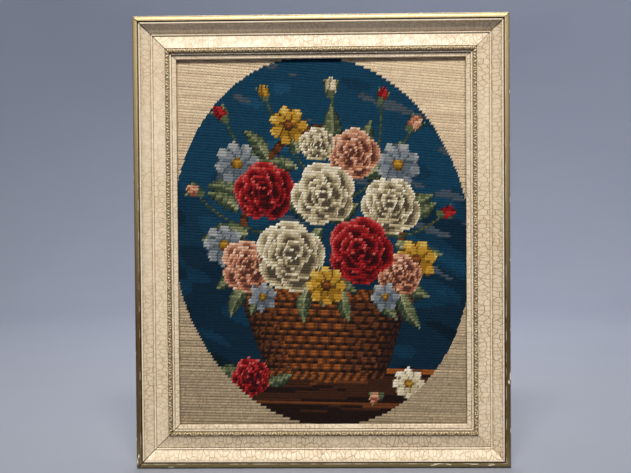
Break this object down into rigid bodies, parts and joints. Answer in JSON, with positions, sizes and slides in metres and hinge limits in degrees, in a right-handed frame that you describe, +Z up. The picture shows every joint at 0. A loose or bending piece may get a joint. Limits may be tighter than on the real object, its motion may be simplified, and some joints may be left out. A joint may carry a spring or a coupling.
{
  "type": "needlepoint picture in a wooden frame",
  "caption": "Upright wool needlepoint with an oval flower picture, in a mitred cream-painted wooden frame with a gilt outer rim and a gilt cast trim.",
  "frame": {"origin": "under the middle of the frame, on the surface that the bottom rail stands on", "axes": "+Z up the picture, +X to the right of someone looking at it, -Y out of its face, +Y out of its back"},
  "size_m": [0.51, 0.0304, 0.616],
  "materials": {
    "cream_paint": "cream paint on wood, finely crackled, satin",
    "gilt": "gold-coloured leaf over plaster, worn and chipped, satin",
    "wool": "matt wool yarn stitched on canvas"
  },
  "bodies": {
    "root": {"rail_top": "cream_paint", "rail_bottom": "cream_paint", "rail_left": "cream_paint", "rail_right": "cream_paint", "trim_top": "gilt", "trim_bottom": "gilt", "trim_left": "gilt", "trim_right": "gilt", "needlepoint": "wool"}
  },
  "joints": []
}
